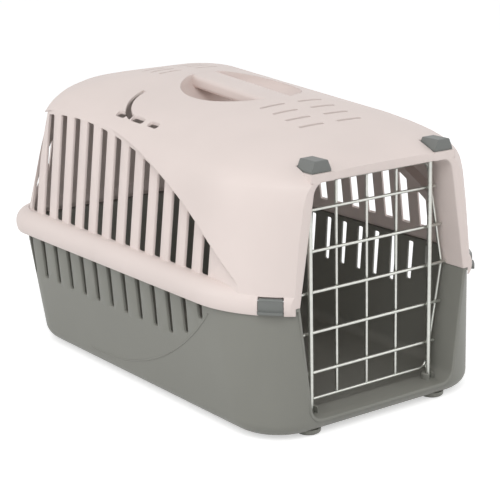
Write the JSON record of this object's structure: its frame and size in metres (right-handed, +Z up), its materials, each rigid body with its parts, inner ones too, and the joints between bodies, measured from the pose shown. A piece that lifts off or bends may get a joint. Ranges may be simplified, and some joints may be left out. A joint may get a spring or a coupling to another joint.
{
  "type": "pet carrier",
  "caption": "Hard-shell pet carrier with a grey slotted tub, a beige domed top with a carry bar, a hinged wire door, lift knobs and side clips.",
  "frame": {"origin": "on the floor, at the middle of the bounding box in plan", "axes": "+Z up; the wire door faces -Y, so the carrier's length runs along Y; +X is on the right of someone facing the door"},
  "size_m": [0.308, 0.48, 0.3006],
  "materials": {
    "shell_beige": "satin",
    "shell_grey": "satin",
    "dark_grey_plastic": "satin",
    "galvanised_wire": "satin",
    "steel_pin": "satin"
  },
  "bodies": {
    "lower": {"lower_shell": "shell_grey"},
    "upper": {"upper_shell": "shell_beige", "left_clip_pin": "steel_pin", "right_clip_pin": "steel_pin"},
    "door": {"hinge_rod": "galvanised_wire", "latch_rod": "galvanised_wire", "perimeter_wire": "galvanised_wire", "cross_wire_1": "galvanised_wire", "cross_wire_2": "galvanised_wire", "cross_wire_3": "galvanised_wire", "cross_wire_4": "galvanised_wire", "cross_wire_5": "galvanised_wire", "upright_wire_1": "galvanised_wire", "upright_wire_2": "galvanised_wire", "upright_wire_3": "galvanised_wire"},
    "left_knob_body": {"left_knob": "dark_grey_plastic", "left_knob_stem": "dark_grey_plastic"},
    "right_knob_body": {"right_knob": "dark_grey_plastic", "right_knob_stem": "dark_grey_plastic"},
    "left_clip_body": {"left_clip": "dark_grey_plastic"},
    "right_clip_body": {"right_clip": "dark_grey_plastic"}
  },
  "joints": [
    {"name": "upper_lift", "type": "slide", "parent": "lower", "child": "upper", "axis": [0, 0, 1], "range_m": [0, 0.2]},
    {"name": "door_hinge", "type": "hinge", "parent": "lower", "child": "door", "pos_m": [-0.0737, -0.22, 0.13], "axis": [0, 0, 1], "range_deg": [-100, 0]},
    {"name": "left_knob_lift", "type": "slide", "parent": "upper", "child": "left_knob_body", "axis": [0, 0, 1], "range_m": [0, 0.008]},
    {"name": "right_knob_lift", "type": "slide", "parent": "upper", "child": "right_knob_body", "axis": [0, 0, 1], "range_m": [0, 0.008]},
    {"name": "left_clip_hinge", "type": "hinge", "parent": "upper", "child": "left_clip_body", "pos_m": [-0.12233, -0.22461, 0.1375], "axis": [-0.6626, 0.749, 0], "range_deg": [0, 60]},
    {"name": "right_clip_hinge", "type": "hinge", "parent": "upper", "child": "right_clip_body", "pos_m": [0.12233, -0.22461, 0.1375], "axis": [-0.6626, -0.749, 0], "range_deg": [0, 60]}
  ]
}
